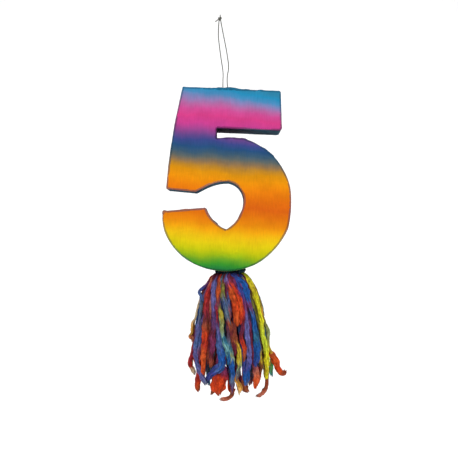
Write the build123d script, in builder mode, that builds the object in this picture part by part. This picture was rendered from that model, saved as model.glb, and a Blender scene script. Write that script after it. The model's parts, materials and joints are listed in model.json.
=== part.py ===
from build123d import *

import os
from math import atan2, cos, degrees, pi, radians, sin, tan

# A number-five pinata: a hollow cardboard figure covered in paper, hung from a string loop, with a
# paper tassel tied under its bowl.
#
# Units are millimetres. +Z is up, the figure faces -Y, and the origin is the seat of the hook, inside
# the top of the hanging loop. The figure hangs about two degrees off level, as its top edge shows.

os.makedirs("parts", exist_ok=True)

# Figure
shell_depth = 90.0  # front paper to back paper
panel_board = 3.0  # corrugated front and back panels
wall_board = 2.0  # greyboard side strips
paper = 0.6  # layers of glued tissue and crepe
lip = 5.0  # how far the side paper is folded over the front and the back
joint_gap = 0.3  # between the ends of neighbouring strips

# Hanging loop
knot_z = 7.0  # middle of the knot, above the hook's seat
loop_drop = 204.0  # from the knot to the holes in the top
hole_height = 497.0  # the holes above the bowl's base
cord_diameter = 2.0
hole_pitch = 14.5
cord_hole_diameter = 3.2
hanger_x = -3.2  # middle of the two holes, from the figure's centre line
swing_height = 1.2  # the loop turns this far above the top paper

# Where the figure hangs from the hook's seat
figure_x = 19.4
figure_bottom_z = knot_z - loop_drop - hole_height

# Filling flap in the back
flap_width, flap_height = 70.0, 60.0
flap_x, flap_z = -60.0, 435.0  # its middle, in the figure's drawing
flap_gap = 0.6

# Tassel
tassel_x = 10.0  # from the figure's centre line
bowl_slope = 4.2  # degrees, where the tassel hangs
tie_pivot_drop = 1.9  # side swing, below the bowl
head_pivot_drop = 10.0  # front swing, below the bowl
head_top, head_bottom, head_radius = 5.0, 27.0, 18.5  # depths below the bowl
streamer_top = 20.0
tassel_flatness = 0.78  # depth of the tassel over its width

half_depth = shell_depth / 2
wall_depth = shell_depth - 2 * (paper + panel_board)
skin = paper + wall_board
cord_radius = cord_diameter / 2

# The figure's drawing plane: drawn to the right and up, seen from the front
figure = Plane(origin=(figure_x, 0, figure_bottom_z), x_dir=(1, 0, 0), z_dir=(0, -1, 0))


def depth_plane(y):
    """The drawing plane at depth y. Extruding from it goes towards the front."""
    return figure.offset(-y)


def export(part, name):
    """Writes one finished piece."""
    part.label = name
    export_step(part, f"parts/{name}.step")


# ---------------------------------------------------------------- the figure's outline
stem_top, flag_top = (-119.5, 502), (147.5, 490.5)
flag_bottom, notch_top = (150.5, 382), (-27.5, 389)
notch_bottom, bowl_start = (-27.5, 362.5), (18.5, 364)
shoulder_start, shoulder_end = (88, 343), (152, 279.5)
bowl_right, bowl_low_right = (175.3, 203), (166.5, 116)
bowl_base_right, bowl_base_left = (82, 20.5), (-66, 10.5)
bowl_low_left, tail_tip = (-164.5, 98), (-173.5, 163.5)
tail_inner, counter_bottom = (-57.5, 173), (-2, 113.5)
counter_right, counter_top = (46, 187), (4, 244)
counter_left, stem_inner, stem_outer = (-62, 227), (-84.5, 215.5), (-165, 223.5)

corner_radii = [
    (stem_top, 5),
    (flag_top, 6),
    (flag_bottom, 9),
    (notch_top, 2),
    (notch_bottom, 2),
    (tail_tip, 6),
    (tail_inner, 6),
    (stem_inner, 8),
    (stem_outer, 4),
]

with BuildSketch() as outline:
    with BuildLine():
        Polyline(stem_top, flag_top, flag_bottom, notch_top, notch_bottom, bowl_start)
        TangentArc(bowl_start, shoulder_start, tangent=(1, 0))
        ThreePointArc(shoulder_start, (124, 316), shoulder_end)
        ThreePointArc(shoulder_end, (168, 246.5), bowl_right)
        ThreePointArc(bowl_right, (174.3, 162), bowl_low_right)
        ThreePointArc(bowl_low_right, (136, 66), bowl_base_right)
        ThreePointArc(bowl_base_right, (10, 0), bowl_base_left)
        ThreePointArc(bowl_base_left, (-130, 49), bowl_low_left)
        ThreePointArc(bowl_low_left, (-174.3, 132), tail_tip)
        Line(tail_tip, tail_inner)
        ThreePointArc(tail_inner, (-36, 137.5), counter_bottom)
        ThreePointArc(counter_bottom, (31, 144), counter_right)
        ThreePointArc(counter_right, (36.3, 223.8), counter_top)
        ThreePointArc(counter_top, (-32, 239), counter_left)
        Polyline(counter_left, stem_inner, stem_outer)
        ThreePointArc(stem_outer, (-149, 358), stem_top)
    make_face()
    for corner, radius in corner_radii:
        fillet(outline.vertices().sort_by_distance((*corner, 0))[0], radius)


def inset_face(distance):
    """The figure's face, drawn in by distance all round."""
    with BuildSketch() as face:
        add(outline.sketch)
        if distance:
            offset(amount=-distance)
    return face.sketch


full_face, board_face = inset_face(0), inset_face(paper)
hollow_face, cover_face = inset_face(skin), inset_face(lip)

# ---------------------------------------------------------------- the hanging point
top_slope = atan2(flag_top[1] - stem_top[1], flag_top[0] - stem_top[0])
hanger_z = stem_top[1] + (hanger_x - stem_top[0]) * tan(top_slope)
top_edge = Plane(
    origin=(figure_x + hanger_x, 0, figure_bottom_z + hanger_z),
    x_dir=(cos(top_slope), 0, sin(top_slope)),
    z_dir=(-sin(top_slope), 0, cos(top_slope)),
)
tassel_point = Plane(origin=(figure_x + tassel_x, 0, figure_bottom_z))


def cut_hanger_holes():
    """Drills the two string holes through the current part."""
    with Locations(top_edge):
        with GridLocations(hole_pitch, 0, 2, 1):
            Cylinder(cord_hole_diameter / 2, 30, mode=Mode.SUBTRACT)


def cut_tassel_hole():
    """Drills the tassel's hole through the current part."""
    with Locations(tassel_point):
        Cylinder(cord_hole_diameter / 2, 30, mode=Mode.SUBTRACT)


# ---------------------------------------------------------------- front and back panels
with BuildPart() as front_panel:
    with BuildSketch(depth_plane(-half_depth + paper + panel_board)):
        add(board_face)
    extrude(amount=panel_board)
export(front_panel.part, "front_panel")


def cut_flap_hole():
    """Cuts the filling hole through the current back sheet."""
    with Locations(depth_plane(half_depth)):
        with Locations((flap_x, flap_z, 0)):
            Box(flap_width, flap_height, 20, mode=Mode.SUBTRACT)


with BuildPart() as back_panel:
    with BuildSketch(depth_plane(half_depth - paper)):
        add(board_face)
    extrude(amount=panel_board)
    cut_flap_hole()
export(back_panel.part, "back_panel")

# ---------------------------------------------------------------- side walls
# Each joint between strips: where it is in the drawing, and the angle of its cut
joints = {
    "stem_top": (stem_top, -50.7),
    "flag_top": (flag_top, 45.3),
    "flag_bottom": (flag_bottom, -44.5),
    "notch_top": (notch_top, -46),
    "notch_bottom": (notch_bottom, 46),
    "bowl_right": (bowl_right, 0),
    "bowl_base": (bowl_base_left, 74),
    "tail_tip": (tail_tip, -46.4),
    "tail_inner": (tail_inner, 64.6),
    "counter_right": (counter_right, 0),
    "stem_inner": (stem_inner, 83),
    "stem_outer": (stem_outer, 37.5),
}


def cut_joints(names):
    """Cuts the current ring into strips at the named joints."""
    for name in names:
        (x, z), angle = joints[name]
        with Locations(figure):
            with Locations(Location((x, z, 0), (0, 0, angle))):
                Box(26, joint_gap, shell_depth + 2, mode=Mode.SUBTRACT)


def export_strips(ring, places):
    """Writes each strip of a cut ring, named by a point of the drawing beside it."""
    for name, (x, z) in places.items():
        beside = figure.from_local_coords((x, z, 0))
        strip = min(ring.solids(), key=lambda solid: solid.distance_to(beside))
        export(strip, name)


with BuildPart() as wall_ring:
    with BuildSketch(depth_plane(wall_depth / 2)):
        add(board_face)
        add(hollow_face, mode=Mode.SUBTRACT)
    extrude(amount=wall_depth)
    cut_hanger_holes()
    cut_tassel_hole()
    cut_joints(joints)

export_strips(
    wall_ring.part,
    {
        "top_wall": (13, 495),
        "flag_end_wall": (147, 437),
        "flag_under_wall": (60, 386),
        "notch_wall": (-27.5, 376),
        "bowl_wall_upper": (115, 316),
        "bowl_wall_lower": (122, 58),
        "bowl_wall_tail": (-128, 50),
        "tail_wall": (-117, 167),
        "counter_wall_lower": (34, 138.5),
        "counter_wall_upper": (36, 228),
        "stem_foot_wall": (-123, 224.5),
        "stem_wall": (-149, 360),
    },
)

# ---------------------------------------------------------------- paper covers
with BuildPart() as side_paper:
    with BuildSketch(depth_plane(half_depth)):
        add(full_face)
        add(board_face, mode=Mode.SUBTRACT)
    extrude(amount=shell_depth)
    with BuildSketch(depth_plane(half_depth)):
        add(full_face)
        add(cover_face, mode=Mode.SUBTRACT)
    extrude(amount=paper)
    with BuildSketch(depth_plane(-half_depth + paper)):
        add(full_face)
        add(cover_face, mode=Mode.SUBTRACT)
    extrude(amount=paper)
    cut_hanger_holes()
    cut_tassel_hole()
    cut_joints(["stem_top", "flag_bottom", "notch_bottom", "tail_tip", "stem_outer"])

export_strips(
    side_paper.part,
    {
        "side_paper_stem": (-149, 360),
        "side_paper_top": (13, 495),
        "side_paper_flag": (60, 386),
        "side_paper_bowl": (122, 58),
        "side_paper_counter": (34, 138.5),
    },
)

with BuildPart() as front_paper:
    with BuildSketch(depth_plane(-half_depth + paper)):
        add(cover_face)
    extrude(amount=paper)
export(front_paper.part, "front_paper")

with BuildPart() as back_paper:
    with BuildSketch(depth_plane(half_depth)):
        add(cover_face)
    extrude(amount=paper)
    cut_flap_hole()
export(back_paper.part, "back_paper")


# ---------------------------------------------------------------- filling flap
def flap_sheet(depth, thickness):
    """One layer of the flap, clear of the hole's edges, with its rear face at depth."""
    with BuildPart() as sheet:
        with BuildSketch(depth_plane(depth)):
            with Locations((flap_x, flap_z)):
                Rectangle(flap_width - 2 * flap_gap, flap_height - 2 * flap_gap)
        extrude(amount=thickness)
    return sheet.part


export(flap_sheet(half_depth - paper, panel_board), "fill_flap")
export(flap_sheet(half_depth, paper), "flap_paper")

# ---------------------------------------------------------------- hanger inside the top
hanger_board = 3.0
dowel_radius = 6.0
dowel_depth = skin + hanger_board + dowel_radius + 0.1

with BuildPart() as hanger_plate:
    with BuildSketch(top_edge.offset(-skin - hanger_board)):
        Rectangle(70, 60)
        with GridLocations(hole_pitch, 0, 2, 1):
            Circle(cord_hole_diameter / 2, mode=Mode.SUBTRACT)
    extrude(amount=hanger_board)
export(hanger_plate.part, "hanger_plate")

with BuildPart() as hanger_dowel:
    with Locations(top_edge.offset(-dowel_depth)):
        Cylinder(dowel_radius, 70, rotation=(90, 0, 0))
    chamfer(hanger_dowel.edges().filter_by(GeomType.CIRCLE), 0.6)
export(hanger_dowel.part, "hanger_dowel")

# The string goes down one hole, under the dowel and up the other
hanger_section = Plane(top_edge.origin, x_dir=top_edge.x_dir, z_dir=(0, -1, 0))
half_pitch = hole_pitch / 2
with BuildPart() as hanger_cord:
    with BuildLine(hanger_section) as saddle:
        Line((-half_pitch, 0.1), (-half_pitch, -dowel_depth))
        ThreePointArc(
            (-half_pitch, -dowel_depth), (0, -dowel_depth - half_pitch), (half_pitch, -dowel_depth)
        )
        Line((half_pitch, -dowel_depth), (half_pitch, 0.1))
    with BuildSketch(Plane(saddle.line @ 0, z_dir=saddle.line % 0)):
        Circle(cord_radius)
    sweep(path=saddle.line)
export(hanger_cord.part, "hanger_cord")


# ---------------------------------------------------------------- hanging loop
def turn_between(a, b, c):
    """The angle in degrees by which a route turns at b."""
    return (Vector(*b) - Vector(*a)).get_angle(Vector(*c) - Vector(*b))


def route_radii(points):
    """The largest radius that the runs beside each inner point allow."""
    radii = []
    for a, b, c in zip(points, points[1:], points[2:]):
        run = min((Vector(*b) - Vector(*a)).length, (Vector(*c) - Vector(*b)).length)
        radii.append(0.45 * run / tan(radians(turn_between(a, b, c)) / 2))
    return radii


def strand(points):
    """A string along a route, with a round foot where it turns above its hole."""
    radii = route_radii(points)
    print("strand radii", [round(radius) for radius in radii])
    with BuildPart() as tube:
        with BuildLine() as route:
            FilletPolyline(*points, radius=radii)
        with BuildSketch(Plane(route.line @ 0, z_dir=route.line % 0)):
            Circle(cord_radius)
        sweep(path=route.line)
        with Locations(points[0]):
            Sphere(cord_radius)
    length = sum(edge.length for edge in route.edges())
    volume_ratio = tube.part.volume / (pi * cord_radius**2 * length)
    print("strand length", round(length, 1), "volume over section by length", round(volume_ratio, 4))
    return tube.part


left_foot = (top_edge * Pos(-half_pitch, 0, swing_height)).position
right_foot = (top_edge * Pos(half_pitch, 0, swing_height)).position

left_route = [
    tuple(left_foot),
    (8.2, 0.6, -172),
    (9.9, 1.0, -143),
    (3.6, -0.6, -106),
    (-1.6, -1.4, -67),
    (-5.2, -0.4, -32),
    (-1.8, 0, 4.5),
]
right_route = [
    tuple(right_foot),
    (20.3, -0.8, -176),
    (20.6, -1.2, -152),
    (25.6, 0.4, -130),
    (20.8, 1.6, -94),
    (15.8, 1.0, -66),
    (8.4, -0.4, -31),
    (1.9, 0, 4.5),
]
export(strand(left_route), "cord_left")
export(strand(right_route), "cord_right")

knot_radius = 4.5
tail_length = 11.0
with BuildPart() as loop_knot:
    with Locations((0, 0, knot_z)):
        Sphere(knot_radius)
    with Locations(Location((0, 0, knot_z), (0, 8, 0)), Location((0, 0, knot_z), (0, -126, 0))):
        Cylinder(cord_radius, tail_length, align=(Align.CENTER, Align.CENTER, Align.MIN))
export(loop_knot.part, "loop_knot")

# ---------------------------------------------------------------- tassel's anchor in the bowl
bowl_board = 3.0
plate_foot = skin + 1.1  # the flat plate stands on the bowl's curve by its two long edges
toggle_radius = 5.0
toggle_ring = toggle_radius + cord_radius + 0.1
toggle_height = plate_foot + bowl_board + toggle_ring + cord_radius + 0.1

tilt = radians(bowl_slope)
bowl_seat = Plane(tassel_point.origin, x_dir=(cos(tilt), 0, sin(tilt)), z_dir=(-sin(tilt), 0, cos(tilt)))
with BuildPart() as tassel_plate:
    with BuildSketch(bowl_seat.offset(plate_foot)):
        Rectangle(36, 60)
    extrude(amount=bowl_board)
    cut_tassel_hole()
export(tassel_plate.part, "tassel_plate")

with BuildPart() as tassel_toggle:
    with Locations(tassel_point.offset(toggle_height)):
        Cylinder(toggle_radius, 56, rotation=(90, 0, 0))
    chamfer(tassel_toggle.edges().filter_by(GeomType.CIRCLE), 0.6)
export(tassel_toggle.part, "tassel_toggle")

# The string comes up through the plate and is tied round the toggle
with BuildPart() as toggle_cord:
    with Locations(tassel_point.offset(toggle_height)):
        Torus(toggle_ring, cord_radius, rotation=(90, 0, 0))
    with Locations(tassel_point.offset(0.1)):
        Cylinder(
            cord_radius,
            toggle_height - toggle_ring,
            align=(Align.CENTER, Align.CENTER, Align.MIN),
        )
export(toggle_cord.part, "toggle_cord")

# ---------------------------------------------------------------- tassel
tie_foot_radius, tie_knot_radius = 1.5, 3.6
with BuildPart() as tassel_tie:
    with Locations(tassel_point.offset(-tie_pivot_drop)):
        Sphere(tie_foot_radius)
    with Locations(tassel_point.offset(-head_pivot_drop)):
        Sphere(tie_knot_radius)
        Cylinder(
            cord_radius,
            head_pivot_drop - tie_pivot_drop,
            align=(Align.CENTER, Align.CENTER, Align.MIN),
        )
export(tassel_tie.part, "tassel_tie")

tassel_section = Plane(tassel_point.origin, x_dir=(1, 0, 0), z_dir=(0, -1, 0))
socket_radius, socket_mouth = 4.6, 3.2
with BuildPart() as tassel_head:
    with BuildSketch(tassel_section):
        with BuildLine():
            Polyline(
                (socket_mouth, -head_top),
                (8, -head_top - 1),
                (head_radius, -streamer_top + 1),
                (head_radius, -head_bottom),
                (0, -head_bottom),
                (0, -head_pivot_drop - socket_radius),
                (socket_radius, -head_pivot_drop - socket_radius),
                (socket_radius, -head_top - 1.9),
                (socket_mouth, -head_top - 1.9),
                close=True,
            )
        make_face()
    revolve(axis=Axis(tassel_point.origin, (0, 0, 1)))
export(tassel_head.part, "tassel_head")

twine_radius, twine_turns = 0.8, 3
with BuildPart() as tassel_binding:
    with Locations(*[tassel_point.offset(-21.5 + turn * 1.7) for turn in range(twine_turns)]):
        Torus(head_radius + twine_radius + 0.02, twine_radius)
export(tassel_binding.part, "tassel_binding")


# ---------------------------------------------------------------- streamers
strip_thickness = 0.8
# depth below the bowl, radius across the tassel and strip width, down each layer
outer_layer = [(streamer_top, 41, 3.6), (50, 74, 7), (120, 101, 10)]
inner_layer = [(streamer_top, 31, 3.4), (50, 46, 5.4), (120, 62, 7.5)]
core_layer = [(head_bottom + 0.5, 9, 3), (60, 20, 6), (120, 30, 9)]
outer_hem, inner_hem, core_hem = (117, 11), (82, 10), (46, 11)  # radius and width at the ends
outer_turns = (-16, -8, 0, 8, 16)  # degrees from the bundle's middle
inner_turns = (-15, -5, 5, 15)
hem_step = 9.0  # the ends are ragged by this much


def streamer(levels, hem, length, direction):
    """One paper strip, hanging down through flat cuts at the levels to its hem."""
    angle = radians(direction)
    across = degrees(atan2(tassel_flatness * cos(angle), -sin(angle)))
    with BuildPart() as strip:
        for drop, radius, width in [*levels, (length, *hem)]:
            place = (radius * cos(angle), tassel_flatness * radius * sin(angle), 0)
            with BuildSketch(tassel_point.offset(-drop)):
                with Locations(Location(place, (0, 0, across))):
                    Rectangle(width, strip_thickness)
        loft(ruled=True)
    return strip.part


bundles = {  # direction in degrees, and length below the bowl
    "streamer_right": (0, 352),
    "streamer_back_right": (45, 348),
    "streamer_back": (90, 358),
    "streamer_back_left": (135, 344),
    "streamer_left": (180, 340),
    "streamer_front_left": (225, 356),
    "streamer_front": (270, 366),
    "streamer_front_right": (315, 360),
}
for name, (direction, length) in bundles.items():
    outer_strips = [
        streamer(outer_layer, outer_hem, length - hem_step * (row % 3), direction + turn)
        for row, turn in enumerate(outer_turns)
    ]
    inner_strips = [
        streamer(inner_layer, inner_hem, length - hem_step * (row % 2 + 1), direction + turn)
        for row, turn in enumerate(inner_turns)
    ]
    with BuildPart() as bundle:
        add(outer_strips)
        add(inner_strips)
    export(bundle.part, name)

core_count, core_length = 12, 350.0
core_strips = [
    streamer(core_layer, core_hem, core_length - hem_step * (row % 3), row * 360 / core_count)
    for row in range(core_count)
]
with BuildPart() as streamer_core:
    add(core_strips)
export(streamer_core.part, "streamer_core")

print("hole middle", top_edge.origin, "slope", degrees(top_slope))
print("swing axis", (top_edge * Pos(0, 0, swing_height)).position, top_edge.x_dir)
print("tassel point", tassel_point.origin)
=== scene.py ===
"""The looks of the hanging number-five pinata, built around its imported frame. Lengths are in metres."""

import json
import math
import random
from collections import namedtuple

import bmesh
import bpy
import numpy as np
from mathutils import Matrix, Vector, noise
from mathutils.bvhtree import BVHTree
from mathutils.geometry import delaunay_2d_cdt

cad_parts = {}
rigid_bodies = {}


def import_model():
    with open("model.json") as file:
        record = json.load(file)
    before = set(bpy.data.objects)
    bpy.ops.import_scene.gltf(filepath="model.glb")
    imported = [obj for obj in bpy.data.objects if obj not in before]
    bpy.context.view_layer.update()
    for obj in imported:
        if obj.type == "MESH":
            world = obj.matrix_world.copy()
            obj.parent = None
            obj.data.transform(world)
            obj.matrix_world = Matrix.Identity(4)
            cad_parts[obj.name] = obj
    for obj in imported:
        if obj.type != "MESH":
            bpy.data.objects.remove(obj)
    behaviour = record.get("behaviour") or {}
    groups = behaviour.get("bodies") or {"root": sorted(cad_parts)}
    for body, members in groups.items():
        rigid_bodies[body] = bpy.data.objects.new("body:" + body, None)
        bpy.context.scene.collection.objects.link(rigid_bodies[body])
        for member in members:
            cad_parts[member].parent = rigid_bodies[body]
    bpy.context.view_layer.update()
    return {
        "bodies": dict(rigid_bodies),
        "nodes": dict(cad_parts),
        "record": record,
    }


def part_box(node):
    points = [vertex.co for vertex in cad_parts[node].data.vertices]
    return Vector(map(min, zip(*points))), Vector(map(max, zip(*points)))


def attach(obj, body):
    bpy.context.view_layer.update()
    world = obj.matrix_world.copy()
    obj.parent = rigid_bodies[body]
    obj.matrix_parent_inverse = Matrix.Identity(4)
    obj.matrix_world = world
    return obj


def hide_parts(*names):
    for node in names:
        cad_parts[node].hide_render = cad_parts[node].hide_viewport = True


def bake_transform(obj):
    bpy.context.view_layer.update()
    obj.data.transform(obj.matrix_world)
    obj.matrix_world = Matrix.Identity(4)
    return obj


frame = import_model()
nodes = frame["nodes"]
MM = 0.001


# ---------------------------------------------------------------- places read from the frame
def merged(node):
    """A CAD node's mesh with its doubled corners joined."""
    mesh = bmesh.new()
    mesh.from_mesh(nodes[node].data)
    bmesh.ops.remove_doubles(mesh, verts=mesh.verts, dist=1e-6)
    return mesh


def outlines(node):
    """The edges of a flat CAD plate's front face, as closed loops of (x, z), the longest first."""
    mesh = merged(node)
    front = min(v.co.y for v in mesh.verts)

    def in_front(face):
        return all(abs(v.co.y - front) < 1e-5 for v in face.verts)

    rim = [e for e in mesh.edges if sum(in_front(f) for f in e.link_faces) == 1]
    beside = {}
    for edge in rim:
        a, b = edge.verts
        beside.setdefault(a, []).append(b)
        beside.setdefault(b, []).append(a)
    loops = []
    while beside:
        start = next(iter(beside))
        loop, here = [start], start
        while True:
            onward = [v for v in beside[here] if v not in loop[-2:]]
            onward = [v for v in onward if v is start or v not in loop]
            if not onward or onward[0] is start:
                break
            here = onward[0]
            loop.append(here)
        for v in loop:
            beside.pop(v, None)
        loops.append(np.array([(v.co.x, v.co.z) for v in loop]))
    mesh.free()
    return sorted(loops, key=lambda loop: -np.ptp(loop, axis=0).sum())


def evenly(loop, step):
    """A closed loop with points a step apart."""
    closed = np.vstack([loop, loop[:1]])
    along = np.concatenate([[0], np.cumsum(np.linalg.norm(np.diff(closed, axis=0), axis=1))])
    count = max(8, int(round(along[-1] / step)))
    at = np.arange(count) * along[-1] / count
    return np.column_stack([np.interp(at, along, closed[:, i]) for i in (0, 1)])


def area_of(loop):
    """A loop's area, positive if it runs anticlockwise in (x, z)."""
    x, z = loop.T
    return 0.5 * float(np.sum(x * np.roll(z, -1) - np.roll(x, -1) * z))


def outward(loop):
    """Unit vectors that point out of a closed loop, one for each point."""
    ahead = np.roll(loop, -2, axis=0) - np.roll(loop, 2, axis=0)
    ahead /= np.linalg.norm(ahead, axis=1)[:, None]
    turn = 1 if area_of(loop) > 0 else -1
    return np.column_stack([ahead[:, 1], -ahead[:, 0]]) * turn


def inside(points, loop):
    """Which points lie inside a closed loop."""
    x, z = points[:, 0], points[:, 1]
    hit = np.zeros(len(points), bool)
    for (x1, z1), (x2, z2) in zip(loop, np.roll(loop, -1, axis=0)):
        if z1 != z2:
            crosses = (z1 > z) != (z2 > z)
            hit ^= crosses & (x < (x2 - x1) * (z - z1) / (z2 - z1) + x1)
    return hit


front_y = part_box("front_paper")[0].y
back_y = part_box("back_paper")[1].y
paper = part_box("front_panel")[0].y - front_y
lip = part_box("front_paper")[0].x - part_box("side_paper_bowl")[0].x
OUTLINE_STEP = 1.4 * MM
panel_outline = evenly(outlines("front_panel")[0], OUTLINE_STEP)
figure_outline = panel_outline + outward(panel_outline) * paper
figure_base = figure_outline[:, 1].min()
figure_middle_x = (figure_outline[:, 0].min() + figure_outline[:, 0].max()) / 2

head_low, head_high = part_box("tassel_head")
tassel_axis = Vector(((head_low.x + head_high.x) / 2, (head_low.y + head_high.y) / 2, 0))
bowl_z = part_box("side_paper_bowl")[0].z


# ---------------------------------------------------------------- noise and meshes
def ripple(x, y, z, seed):
    """Smooth noise from -1 to 1."""
    return noise.noise(Vector((x + seed * 7.31, y - seed * 3.17, z + seed * 1.73)))


def make_object(name, verts, faces, material, tint=None):
    """A smooth-shaded mesh piece with one material, and a colour for each point if tint is given."""
    mesh = bpy.data.meshes.new(name)
    mesh.from_pydata([tuple(map(float, v)) for v in verts], [], [tuple(map(int, f)) for f in faces])
    mesh.validate()
    mesh.polygons.foreach_set("use_smooth", [True] * len(mesh.polygons))
    if tint is not None:
        colours = mesh.color_attributes.new("tint", "FLOAT_COLOR", "POINT")
        colours.data.foreach_set("color", np.column_stack([tint, np.ones(len(tint))]).ravel())
    mesh.materials.append(material)
    piece = bpy.data.objects.new(name, mesh)
    bpy.context.scene.collection.objects.link(piece)
    return piece


def stands_for(piece, node, body):
    """Puts a piece on a body in the place of a CAD node, and hides the node."""
    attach(piece, body)
    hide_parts(node)


def shifted(faces, count):
    """Faces with their point numbers raised, for a mesh that already has that many points."""
    return [tuple(count + v for v in f) for f in faces]


def grid_faces(rows, columns, closed=False):
    """Quads over a grid of points, row by row, with each row closed to a ring if asked."""
    faces = []
    last = columns if closed else columns - 1
    for r in range(rows - 1):
        for c in range(last):
            d = (c + 1) % columns
            faces.append((r * columns + c, r * columns + d, (r + 1) * columns + d, (r + 1) * columns + c))
    return faces


def thicken(piece, thickness, offset):
    """Gives a sheet its thickness. Offset 1 grows it outwards and -1 inwards."""
    solidify = piece.modifiers.new("thickness", "SOLIDIFY")
    solidify.thickness = thickness
    solidify.offset = offset
    solidify.use_even_offset = False
    apply_modifiers(piece)


def apply_modifiers(piece):
    """Makes a piece's modifiers part of its mesh."""
    seen = piece.evaluated_get(bpy.context.evaluated_depsgraph_get())
    mesh = bpy.data.meshes.new_from_object(seen)
    piece.modifiers.clear()
    piece.data = mesh


# ---------------------------------------------------------------- materials
def srgb(code):
    """Linear red, green and blue of a colour written as six hexadecimal digits."""
    parts = [int(code[i : i + 2], 16) / 255 for i in (0, 2, 4)]
    return tuple(p / 12.92 if p <= 0.04045 else ((p + 0.055) / 1.055) ** 2.4 for p in parts)


class Nodes:
    """A material's node tree, with short ways to add and join nodes."""

    def __init__(self, name):
        self.material = bpy.data.materials.new(name)
        self.material.use_nodes = True
        self.tree = self.material.node_tree
        self.shader = next(n for n in self.tree.nodes if n.type == "BSDF_PRINCIPLED")
        self.place = self.add("ShaderNodeTexCoord").outputs["Object"]

    def add(self, kind, inputs=None, **settings):
        """A new node with its settings and its inputs, which are values or other nodes' outputs."""
        node = self.tree.nodes.new(kind)
        for key, value in settings.items():
            setattr(node, key, value)
        for key, value in (inputs or {}).items():
            self.feed(node.inputs[key], value)
        return node

    def feed(self, socket, value):
        """Sets an input, or joins an output to it."""
        if isinstance(value, bpy.types.NodeSocket):
            self.tree.links.new(value, socket)
        else:
            socket.default_value = value

    def math(self, operation, a, b=0.0):
        """One sum of two values or outputs."""
        return self.add("ShaderNodeMath", {0: a, 1: b}, operation=operation).outputs[0]

    def noise(self, scale, detail=2.0, stretch=(1, 1, 1), rough=0.5):
        """Noise over the object's own coordinates, stretched along an axis by a small factor there."""
        spread = self.add("ShaderNodeMapping", {"Vector": self.place, "Scale": stretch})
        made = self.add(
            "ShaderNodeTexNoise",
            {"Vector": spread.outputs[0], "Scale": scale, "Detail": detail, "Roughness": rough},
        )
        return made.outputs["Fac"]

    def ramp(self, factor, stops):
        """A colour ramp through (position, colour) stops."""
        node = self.add("ShaderNodeValToRGB", {"Fac": factor})
        points = node.color_ramp.elements
        while len(points) < len(stops):
            points.new(1.0)
        for point, (position, colour) in zip(points, stops):
            point.position = position
            point.color = (*colour, 1)
        return node.outputs["Color"]

    def mix(self, factor, a, b, blend="MIX"):
        """Two colours mixed."""
        node = self.add("ShaderNodeMix", data_type="RGBA", blend_type=blend)
        for socket, value in ((node.inputs[0], factor), (node.inputs[6], a), (node.inputs[7], b)):
            plain = isinstance(value, tuple)
            self.feed(socket, (*value, 1) if plain else value)
        return node.outputs[2]

    def bump(self, height, distance, strength):
        """A bumped normal."""
        inputs = {"Height": height, "Distance": distance, "Strength": strength}
        return self.add("ShaderNodeBump", inputs).outputs[0]

    def finish(self, colour, roughness, normal=None, **more):
        """Sets the shader's inputs and returns the material."""
        self.feed(self.shader.inputs["Base Color"], (*colour, 1) if isinstance(colour, tuple) else colour)
        self.feed(self.shader.inputs["Roughness"], roughness)
        if normal is not None:
            self.feed(self.shader.inputs["Normal"], normal)
        for key, value in more.items():
            self.feed(self.shader.inputs[key.replace("_", " ")], value)
        return self.material


# The dyed bands of the front, by their height above a level just under the bowl, at the figure's middle
BANDS = [
    (0.000, "24583a"),
    (0.012, "26803a"),
    (0.024, "3a962c"),
    (0.036, "66a427"),
    (0.050, "9cba16"),
    (0.066, "c9c810"),
    (0.086, "e4cc12"),
    (0.104, "eec014"),
    (0.122, "f0a50f"),
    (0.140, "e8890d"),
    (0.164, "df730e"),
    (0.188, "da6312"),
    (0.210, "df6d0e"),
    (0.236, "ea800c"),
    (0.258, "ec920a"),
    (0.278, "d9900f"),
    (0.292, "b8842c"),
    (0.304, "8c7250"),
    (0.316, "5f6662"),
    (0.328, "3c5a70"),
    (0.342, "264f7c"),
    (0.358, "3c4787"),
    (0.372, "66478a"),
    (0.388, "96458c"),
    (0.406, "c63f8e"),
    (0.426, "d33f86"),
    (0.444, "cb4c92"),
    (0.458, "b4659f"),
    (0.472, "8b7db2"),
    (0.486, "4a8aba"),
    (0.500, "258bb8"),
    (0.512, "2e82a6"),
]
BAND_SLOPE = 0.1  # the bands fall this much towards the right
BAND_BASE = 10 * MM  # how far under the bowl their heights start
TILT_START = 0.42  # the height above which they fall more and more steeply
TILT_GROWTH = 0.9
STREAK_DEPTH, CLOUD_DEPTH = 0.006, 0.026  # how far the dye runs up and down in streaks and in clouds


def crepe_grain(made, across=(1, 1, 0.12)):
    """The height of crepe paper's fine crinkles, which run along the sheet's grain."""
    fine = made.noise(950, 3, across, 0.6)
    coarse = made.noise(330, 2, across)
    return made.math("ADD", fine, made.math("MULTIPLY", coarse, 0.8))


def banded_dye(made):
    """The colour of the soft dyed bands, with the dye drawn out along the grain."""
    x, _, z = made.add("ShaderNodeSeparateXYZ", {0: made.place}).outputs
    height = made.math("SUBTRACT", z, float(figure_base) - BAND_BASE)
    aside = made.math("SUBTRACT", x, float(figure_middle_x))
    above = made.math("MAXIMUM", made.math("SUBTRACT", height, TILT_START), 0.0)
    slope = made.math("ADD", made.math("MULTIPLY", above, TILT_GROWTH), BAND_SLOPE)
    streaks = made.math("SUBTRACT", made.noise(260, 3, (1, 1, 0.06)), 0.5)
    clouds = made.math("SUBTRACT", made.noise(14, 3), 0.5)
    level = made.math("ADD", height, made.math("MULTIPLY", aside, slope))
    level = made.math("ADD", level, made.math("MULTIPLY", streaks, STREAK_DEPTH))
    level = made.math("ADD", level, made.math("MULTIPLY", clouds, CLOUD_DEPTH))
    top = BANDS[-1][0]
    return made.ramp(made.math("DIVIDE", level, top), [(h / top, srgb(c)) for h, c in BANDS])


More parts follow.
